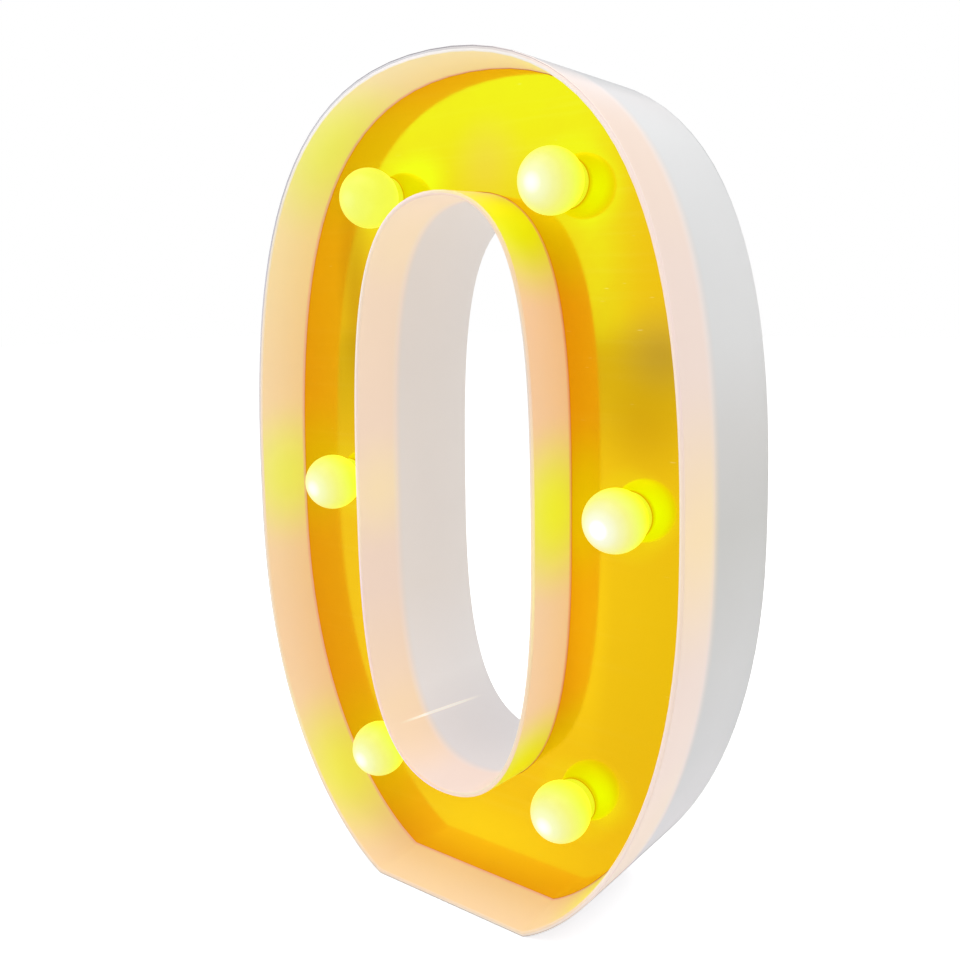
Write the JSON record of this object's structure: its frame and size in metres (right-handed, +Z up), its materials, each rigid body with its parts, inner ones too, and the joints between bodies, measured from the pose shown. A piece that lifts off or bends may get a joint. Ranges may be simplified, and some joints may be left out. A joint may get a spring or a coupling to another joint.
{
  "type": "led numeral light",
  "caption": "Marquee light shaped as a numeral zero: white channel, gold mirror floor, frosted globes, screwed back cover with battery door, slide switch and keyhole.",
  "frame": {"origin": "on the ground, in the middle of the flat foot", "axes": "+Z up, the open lit front faces -Y, the back cover faces +Y, +X to the right as seen from the front"},
  "size_m": [0.137, 0.046, 0.22],
  "materials": {
    "white_plastic": "white ABS, satin moulded",
    "gold_mirror": "gold mirror film on a plastic sheet",
    "frosted_globe": "frosted, lit from inside",
    "led_resin": "clear resin, lit",
    "steel": "nickel plated",
    "cell_sleeve": "plain printed sleeve, gloss",
    "phenolic": "brown phenolic board",
    "black_plastic": "moulded, matt",
    "red_sleeve": "PVC lead sleeve",
    "black_sleeve": "PVC lead sleeve"
  },
  "bodies": {
    "lamp": {"outer_wall": "white_plastic", "inner_wall": "white_plastic", "floor_web": "white_plastic", "mirror_panel": "gold_mirror", "globe_bottom_left": "frosted_globe", "globe_bottom_right": "frosted_globe", "globe_side_right": "frosted_globe", "globe_top_right": "frosted_globe", "globe_top_left": "frosted_globe", "globe_side_left": "frosted_globe", "led_bottom_left": "led_resin", "led_bottom_right": "led_resin", "led_side_right": "led_resin", "led_top_right": "led_resin", "led_top_left": "led_resin", "led_side_left": "led_resin", "led_holder_bottom_left": "white_plastic", "led_holder_bottom_right": "white_plastic", "led_holder_side_right": "white_plastic", "led_holder_top_right": "white_plastic", "led_holder_top_left": "white_plastic", "led_holder_side_left": "white_plastic", "back_cover": "white_plastic", "cover_screw_1": "steel", "cover_screw_2": "steel", "cover_screw_3": "steel", "cover_screw_4": "steel", "cover_screw_5": "steel", "cover_screw_6": "steel", "cover_screw_7": "steel", "cover_screw_8": "steel", "battery_tray": "white_plastic", "battery_cell_outer": "cell_sleeve", "battery_cell_inner": "cell_sleeve", "contact_positive": "steel", "contact_negative": "steel", "contact_bridge": "steel", "switch_frame": "steel", "switch_base": "phenolic", "switch_screw_1": "steel", "switch_screw_2": "steel", "lead_positive": "red_sleeve", "lead_negative": "black_sleeve", "lead_switch": "red_sleeve"},
    "door": {"battery_door": "white_plastic"},
    "slider": {"switch_slider": "black_plastic"}
  },
  "joints": [
    {"name": "battery_door_hinge", "type": "hinge", "parent": "lamp", "child": "door", "pos_m": [-0.04745, 0.0218, 0.0765], "axis": [-1, 0, 0], "range_deg": [0, 100]},
    {"name": "switch_slide", "type": "slide", "parent": "lamp", "child": "slider", "axis": [0, 0, -1], "range_m": [0, 0.004]}
  ]
}
